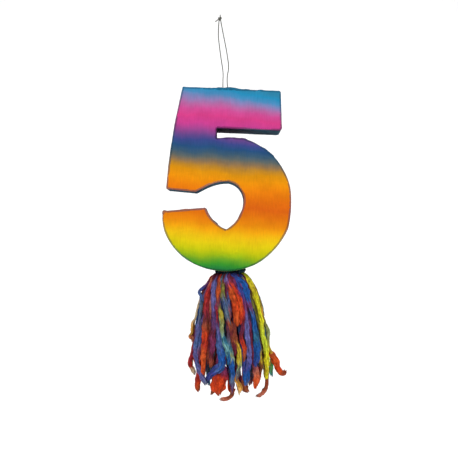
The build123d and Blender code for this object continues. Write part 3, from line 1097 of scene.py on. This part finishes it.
def hung(points, layer):
    """A strip's smooth line from the tie, over the head and through its (x, y, depth) points.

    The fourth column says how far along the points each place is, from 0 to 1.
    """
    first = points[0]
    away = math.atan2(first[1], first[0])
    sunk = min(9.0, (1 - layer) * 60)
    reach = math.hypot(first[0], first[1])
    head = []
    for depth, radius in SPREAD:
        radius = max(radius, TIE_GRIP)
        if radius < 0.8 * reach and depth + sunk < first[2] - 2:
            head.append((radius * math.cos(away), radius * math.sin(away), depth + sunk))
    shares = [0.0] * len(head) + list(np.linspace(0, 1, len(points)))
    places = [(tassel_axis.x + x * MM, y * MM, bowl_z - d * MM) for x, y, d in [*head, *points]]
    return smooth_line(np.column_stack([places, shares]), STEP)


def front_line(strip):
    """The line of a strip that hangs in front, on its layer of the tassel.

    Its path is drawn on the plane through the tassel's axis as an eye in front sees it, so each point
    slides towards that eye to its place on the tassel's front.
    """
    points = []
    for x, depth in strip.path:
        radius = strip.layer * spread(depth)
        y = -FLATNESS * math.sqrt(max(radius**2 - x**2, (0.12 * radius) ** 2))
        nearer = 1 + y / EYE_DISTANCE
        points.append((EYE_X + (x - EYE_X) * nearer, y, EYE_DEPTH + (depth - EYE_DEPTH) * nearer))
    return hung(points, strip.layer)


def loose_line(rng, away, layer, length):
    """The line of a strip that hangs in a direction from the axis, in degrees, and sways a little."""
    points = []
    for share in (0.09, 0.2, 0.36, 0.54, 0.74, 0.9, 1.0):
        depth = length * share
        turned = math.radians(away + rng.uniform(-4, 4))
        radius = layer * spread(depth) + rng.uniform(-3, 2)
        points.append((radius * math.cos(turned), FLATNESS * radius * math.sin(turned), depth))
    if rng.random() < 0.45 * (layer > OUTER_LAYER):
        x, y, depth = points[-1]
        side = rng.choice((-1, 1)) * rng.uniform(8, 15)
        points.append((x * 1.02 + side * y / 100, y * 1.02 - side * x / 100, depth + 6))
        points.append((x * 1.02 + 1.9 * side * y / 100, y * 1.02 - 1.9 * side * x / 100, depth - 3))
    return hung(points, layer)


def loose_strip(rng, layer):
    """The widths and colours of a strip that hardly shows from the front."""
    names = rng.choices(BRIGHT if layer > OUTER_LAYER else DEEP, k=rng.randint(3, 5))
    shades = [name for name in names for _ in range(rng.randint(1, 2))]
    widths = tuple(rng.uniform(9, 15) for _ in range(5)) + (8,)
    return Strip((), widths, " ".join(shades), layer)


def spaced_values(values, shares):
    """Values spread evenly from 0 to 1, read at the shares."""
    values = np.array(values, float)
    places = np.linspace(0, 1, len(values))
    if values.ndim == 1:
        return np.interp(shares, places, values)
    return np.column_stack([np.interp(shares, places, column) for column in values.T])


def crumpled(line, strip, rng, columns):
    """Points, faces and tints of one crepe strip, rolled and crumpled to a loose rope along a line."""
    shares, line = np.clip(line[:, 3], 0, 1), line[:, :3]
    seed, count = rng.uniform(0, 90), len(line)
    s = np.arange(count) * STEP
    free = np.clip((bowl_z - line[:, 2]) / 0.08, 0, 1)
    sway = np.array([ripple(v * 24, seed, 0, 5) + 0.5 * ripple(v * 62, seed, 0, 6) for v in s])
    bulge = np.array([ripple(v * 30, seed, 0, 7) for v in s])
    away = line[count // 2] - np.array(tassel_axis)
    away[2] = 0
    away /= np.linalg.norm(away)
    across = np.array((-away[1], away[0], 0.0))
    line = line + np.outer(free * sway * 3.2 * MM, across) + np.outer(free * bulge * 3 * MM, away)
    tangents, sides, ups = frames_along(line, across)
    if ups[count // 2] @ away < 0:
        ups = -ups
    halves = spaced_values(strip.widths, shares) / 2 * MM
    dyes = spaced_values([COLOURS[name] for name in strip.colours.split()], shares)
    shadow = np.clip((bowl_z - line[:, 2]) / (22 * MM), 0.25, 1)
    cut = np.array([rng.uniform(0, 7) * MM for _ in range(columns)])
    roll = rng.uniform(2.0, 2.6)
    verts, tints = [], []
    for k in range(count):
        v = s[k]
        to_end = s[-1] - v
        turn = 0.8 * ripple(v * 13, seed, 0, 8)
        wide_way = math.cos(turn) * sides[k] + math.sin(turn) * ups[k]
        deep_way = math.cos(turn) * ups[k] - math.sin(turn) * sides[k]
        gathered = 0.5 + 0.5 * min(1.0, v / 0.05)
        steady = min(1.0, 9 * MM / max(halves[k], MM))
        pulse = 1 + steady * (0.26 * ripple(v * 42, seed, 0, 9) + 0.2 * ripple(v * 120, seed, 0, 10))
        half = halves[k] * gathered * pulse * (0.6 + 0.4 * min(1.0, to_end / 0.012))
        deep = (0.5 * min(half, 8 * MM) + 1.8 * MM) * (1 + 0.25 * ripple(v * 60, seed, 0, 11))
        slide = 5 * ripple(v * 16, seed, 0, 12)
        drawn = max(0.0, 1 - to_end / 0.03)
        for c in range(columns):
            u = -1 + 2 * c / (columns - 1)
            angle = u * roll
            ridge = math.sin(4.5 * angle + slide) * (0.6 + 0.4 * ripple(v * 50, seed, c * 0.3, 17))
            crease = ripple(v * 85, seed + c * 0.55, 0, 13)
            fine = ripple(v * 260, seed + c * 1.3, 0, 18)
            swell = 1 + 0.17 * ridge + 0.3 * crease + 0.12 * fine
            place = line[k] + wide_way * (half * math.sin(angle) * swell)
            place = place + deep_way * (deep * math.cos(angle) * swell)
            verts.append(place - tangents[k] * (cut[c] * drawn))
            streak = ripple(v * 22, c * 0.8, seed, 14)
            near = min(count - 1, max(0, k + int(11 * ripple(v * 26, c * 0.5, seed, 16))))
            speck = ripple(v * 180, c * 1.6, seed, 19)
            # Lighter on the crumpled ridges and darker in the creases and at the strip's edges, as painted
            # highlight and painted shade; the streaks and specks are dye.
            mottle_and_painted_shade = 0.95 + 1.4 * (swell - 1) + 0.35 * streak + 0.35 * speck - 0.3 * abs(u) ** 3
            tints.append(np.clip(dyes[near] * max(0.22, mottle_and_painted_shade) * shadow[k], 0, 1))
    return verts, grid_faces(count, columns), tints


def strip_set(name, node, seed):
    """A bundle of crumpled strips in the place of its CAD strips, as one piece."""
    rng = random.Random(seed)
    jobs = []
    if node == "streamer_core":
        for away in range(0, 360, 30):
            layer = 0.25 if away % 60 else 0.42
            jobs.append((loose_line(rng, away, layer, rng.uniform(*CORE_LENGTH)), loose_strip(rng, layer)))
    else:
        low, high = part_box(node)
        middle = (low + high) / 2 - tassel_axis
        heading = 45 * round(math.degrees(math.atan2(middle.y, middle.x)) / 45)
        shown = STRIPS.get(node, [])
        jobs += [(front_line(strip), strip) for strip in shown]
        arcs = [(arc, rng.uniform(0.93, 0.98)) for arc in OUTER_ARCS[: max(0, 5 - len(shown))]]
        arcs += [(arc, rng.uniform(0.62, 0.75)) for arc in INNER_ARCS]
        for arc, layer in arcs:
            drop = rng.uniform(*LOOSE_LENGTHS.get(node, LOOSE_LENGTH))
            if node == "streamer_back" and arc == 0:
                drop = LONGEST
            away = heading - arc if node == "streamer_right" else heading + arc
            jobs.append((loose_line(rng, away, layer, drop), loose_strip(rng, layer)))
    verts, faces, tints = [], [], []
    for line, strip in jobs:
        columns = FINE_COLUMNS if strip.layer > OUTER_LAYER else COARSE_COLUMNS
        part_verts, part_faces, part_tints = crumpled(line, strip, rng, columns)
        faces += shifted(part_faces, len(verts))
        verts += part_verts
        tints += part_tints
    piece = make_object(name, verts, faces, STREAMER, np.array(tints))
    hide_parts(node)
    return piece


def cut_level(piece, depth):
    """Cuts a piece level at a depth below the bowl, and returns what was above as a mesh."""
    above = piece.data.copy()
    for mesh, keep_above in ((piece.data, False), (above, True)):
        cut = bmesh.new()
        cut.from_mesh(mesh)
        bmesh.ops.bisect_plane(
            cut,
            geom=cut.verts[:] + cut.edges[:] + cut.faces[:],
            dist=1e-7,
            plane_co=(0, 0, bowl_z - depth),
            plane_no=(0, 0, 1),
            clear_outer=not keep_above,
            clear_inner=keep_above,
        )
        cut.to_mesh(mesh)
        cut.free()
    return above


def gathered(name, meshes, length):
    """The strips' parts between two levels as one piece. The length is not used."""
    parts = [bpy.data.objects.new(name, mesh) for mesh in meshes]
    for part in parts:
        bpy.context.scene.collection.objects.link(part)
    piece = parts[0]
    with bpy.context.temp_override(active_object=piece, object=piece, selected_editable_objects=parts):
        bpy.ops.object.join()
    thicken(piece, CREPE, 0)
    return piece


def bend(piece, a, b, top, bottom):
    """Bakes a piece's transform into its mesh. The two bodies and the two depths are not used."""
    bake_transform(piece)


CREPE = 0.25 * MM
TOP_LENGTH, NECK_LENGTH = 0.032, 0.016  # of a strip, above the two levels where the tassel bends
# The depths under the bowl between which the strips bend sideways, to the front, and when a bundle lifts.
# Here the strips are only cut, at the second depth of the first two.
TOP_BEND, NECK_BEND, LIFT_BEND = (2 * MM, 15 * MM), (15 * MM, 29 * MM), (29 * MM, 66 * MM)
top_meshes, neck_meshes = [], []
for number, bundle in enumerate(body for body in frame["bodies"] if body.startswith("streamer_")):
    name = bundle.replace("streamer", "strips")
    strips = strip_set(name, bundle, 40 + number)
    top_meshes.append(cut_level(strips, TOP_BEND[1]))
    neck_meshes.append(cut_level(strips, NECK_BEND[1]))
    thicken(strips, CREPE, 0)
    bend(strips, "tassel", bundle, *LIFT_BEND)
strip_tops = gathered("strip_tops", top_meshes, TOP_LENGTH)
bend(strip_tops, "shell", "tie", *TOP_BEND)
strip_necks = gathered("strip_necks", neck_meshes, NECK_LENGTH)
bend(strip_necks, "tie", "tassel", *NECK_BEND)

core = strip_set("strips_core", "streamer_core", 60)
thicken(core, CREPE, 0)
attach(core, "tassel")


def underside(x):
    """The height of the bowl's underside at x."""
    low = figure_outline[figure_outline[:, 1] < figure_base + 30 * MM]
    low = low[np.argsort(low[:, 0])]
    return float(np.interp(x, low[:, 0], low[:, 1]))


FRILL_FLATNESS = 0.85
FRILL_COLOURS = ("green", "teal", "navy", "maroon")


def frill():
    """A short pleated skirt of crepe, glued under the bowl round the tassel's hole, darkened as painted
    shadow.
    """
    # radius, and depth below the bowl's underside, in millimetres
    profile = [(7, -0.4), (20, -0.2), (33, 0.4), (39, 1.8), (41.5, 4.5), (41, 8), (38.5, 11)]
    line = spaced(np.array([(r, 0, d) for r, d in profile], float), 1.6)
    around = 260
    verts, tints = [], []
    for row, (radius, _, drop) in enumerate(line):
        for k in range(around):
            angle = 2 * math.pi * k / around
            loose = min(1.0, radius / 30) * (0.4 + 0.6 * row / len(line))
            pleat = 1.5 * math.sin(34 * angle + 4 * ripple(angle * 2, row * 0.1, 0, 41))
            pleat += 1.6 * ripple(angle * 6, row * 0.3, 0, 42)
            reach = (radius + pleat * loose) * MM
            x = tassel_axis.x + reach * math.cos(angle)
            ragged = 2.2 * ripple(angle * 9, 0, 0, 43) * (row / len(line)) ** 3
            verts.append((x, FRILL_FLATNESS * reach * math.sin(angle), underside(x) - (drop + ragged) * MM))
            # Painted shadow between the bowl and the strips: the dyes are dimmed to about a fifth.
            dye = COLOURS[FRILL_COLOURS[int(2 + 2 * ripple(angle * 3, 0, 0, 44)) % 4]]
            tints.append(np.array(dye) * (0.2 + 0.16 * ripple(angle * 20, row * 0.4, 0, 45)))
    faces = grid_faces(len(line), around, True)
    piece = make_object("tassel_shadow_frill", verts, faces, STREAMER, np.clip(tints, 0, 1))
    thicken(piece, CREPE, 0)
    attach(piece, "shell")


frill()


def gathered_head():
    """The rolled and pleated tops of the strips, bound under the bowl."""
    # radius and depth below the bowl down the head's outside, in millimetres
    profile = [(3.4, 5.6), (8, 6.3), (13, 11), (17.2, 17), (17.6, 20)]
    profile += [(16.8, 23), (18.2, 26.6), (12, 27.2), (1.5, 27)]
    line = spaced(np.array([(r, 0, -d) for r, d in profile], float), 0.7)
    around = 240
    names = list(COLOURS)
    verts, tints = [], []
    for r, _, z in line:
        for k in range(around):
            angle = 2 * math.pi * k / around
            pleat = 0.7 * math.sin(28 * angle + 3 * ripple(z * 0.05, angle, 0, 31))
            pleat += 0.5 * ripple(angle * 9, z * 0.3, 0, 32)
            reach = (r + pleat * min(1, r / 10)) * MM
            verts.append((tassel_axis.x + reach * math.cos(angle), reach * math.sin(angle), bowl_z + z * MM))
            dye = COLOURS[names[int(28 * angle / (2 * math.pi)) * 5 % len(names)]]
            # Painted shade under the bowl: the dyes are dimmed to three quarters.
            tints.append(np.array(dye) * 0.75)
    faces = grid_faces(len(line), around, True)
    faces.append(tuple(range(around))[::-1])
    faces.append(tuple((len(line) - 1) * around + k for k in range(around)))
    piece = make_object("tassel_gather", verts, faces, STREAMER, np.array(tints))
    stands_for(piece, "tassel_head", "tassel")


def twine_piece(name, node, body, lines, diameter):
    """Dark twine laid along some lines, as one piece that stands for a CAD node."""
    verts, faces = [], []
    for line in lines:
        part_verts, part_faces = twisted(line, diameter)
        faces += shifted(part_faces, len(verts))
        verts += part_verts
    piece = make_object(name, verts, faces, DARK_TWINE)
    stands_for(piece, node, body)


gathered_head()
BINDING_TWINE = 1.6 * MM
binding_low, binding_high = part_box("tassel_binding")
binding_radius = (binding_high.x - binding_low.x) / 2 - 0.8 * MM
winds = np.linspace(0, 6.3 * math.pi, 200)
climb = (binding_high.z - binding_low.z - BINDING_TWINE) * winds / winds[-1]
binding_line = np.column_stack(
    [
        tassel_axis.x + binding_radius * np.cos(winds),
        binding_radius * np.sin(winds),
        binding_low.z + BINDING_TWINE / 2 + climb,
    ]
)
twine_piece("binding_twine", "tassel_binding", "tassel", [binding_line], BINDING_TWINE)

tie_top = Vector((tassel_axis.x, 0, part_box("tassel_tie")[1].z))
tie_knot = Vector((tassel_axis.x, 0, bowl_z - 10 * MM))
tie_line = np.array([tie_top.lerp(tie_knot, t) for t in np.linspace(0, 1, 20)])
twine_piece("tie_string", "tassel_tie", "tie", [tie_line, knot_line(tie_knot, 2.4 * MM)], STRING * 0.9)


# ---------------------------------------------------------------- camera, light and floor
CAMERA_DISTANCE = 1.75  # from the figure's front
camera = bpy.data.objects.new("camera", bpy.data.cameras.new("camera"))
camera.data.sensor_width = 36
camera.data.lens = 50.65
camera.location = (0.0256, front_y - CAMERA_DISTANCE, -0.579)
camera.rotation_euler = (math.pi / 2, 0, 0)
bpy.context.scene.collection.objects.link(camera)
bpy.context.scene.camera = camera


def softbox(name, place, target, size, power):
    """A square soft light that looks at a point."""
    data = bpy.data.lights.new(name, "AREA")
    data.size = size
    data.energy = power
    light = bpy.data.objects.new(name, data)
    light.location = place
    light.rotation_euler = (Vector(target) - Vector(place)).to_track_quat("-Z", "Y").to_euler()
    bpy.context.scene.collection.objects.link(light)


FIGURE_CENTRE = (0.02, 0, -0.5)
softbox("key", (-1.1, -2.4, 0.9), FIGURE_CENTRE, 1.6, 33)
softbox("fill", (1.7, -2.0, -0.2), FIGURE_CENTRE, 1.8, 13)
softbox("top", (0.2, -0.3, 1.6), FIGURE_CENTRE, 1.4, 13)
softbox("rear", (0.9, 2.0, 0.6), FIGURE_CENTRE, 1.5, 11)
softbox("backdrop_left", (-1.5, 0.7, 0.5), (-0.9, 2.6, -0.6), 1.8, 14)
softbox("backdrop_right", (1.5, 0.7, 0.5), (0.9, 2.6, -0.6), 1.8, 14)

world = bpy.data.worlds.new("studio")
world.use_nodes = True
world.node_tree.nodes["Background"].inputs["Color"].default_value = (1, 1, 1, 1)
world.node_tree.nodes["Background"].inputs["Strength"].default_value = 0.55
bpy.context.scene.world = world


def studio_floor():
    """A pale floor that curves up into a backdrop."""
    floor_z, back, radius, half = -1.42, 2.6, 0.9, 5.0
    line = [(-6.0, floor_z), (back - radius, floor_z)]
    for k in range(1, 13):
        a = math.pi / 2 * k / 12
        line.append((back - radius + radius * math.sin(a), floor_z + radius - radius * math.cos(a)))
    line.append((back, 4.0))
    verts = [(x, y, z) for y, z in line for x in (-half, half)]
    faces = [(2 * k, 2 * k + 1, 2 * k + 3, 2 * k + 2) for k in range(len(line) - 1)]
    made = Nodes("studio_paper")
    grain = made.noise(30, 3)
    tone = made.ramp(grain, [(0.3, (0.93, 0.93, 0.93)), (0.7, (0.95, 0.95, 0.95))])
    floor = make_object("studio_floor", verts, faces, made.finish(tone, 0.9))


studio_floor()
bpy.context.scene.view_settings.view_transform = "Standard"
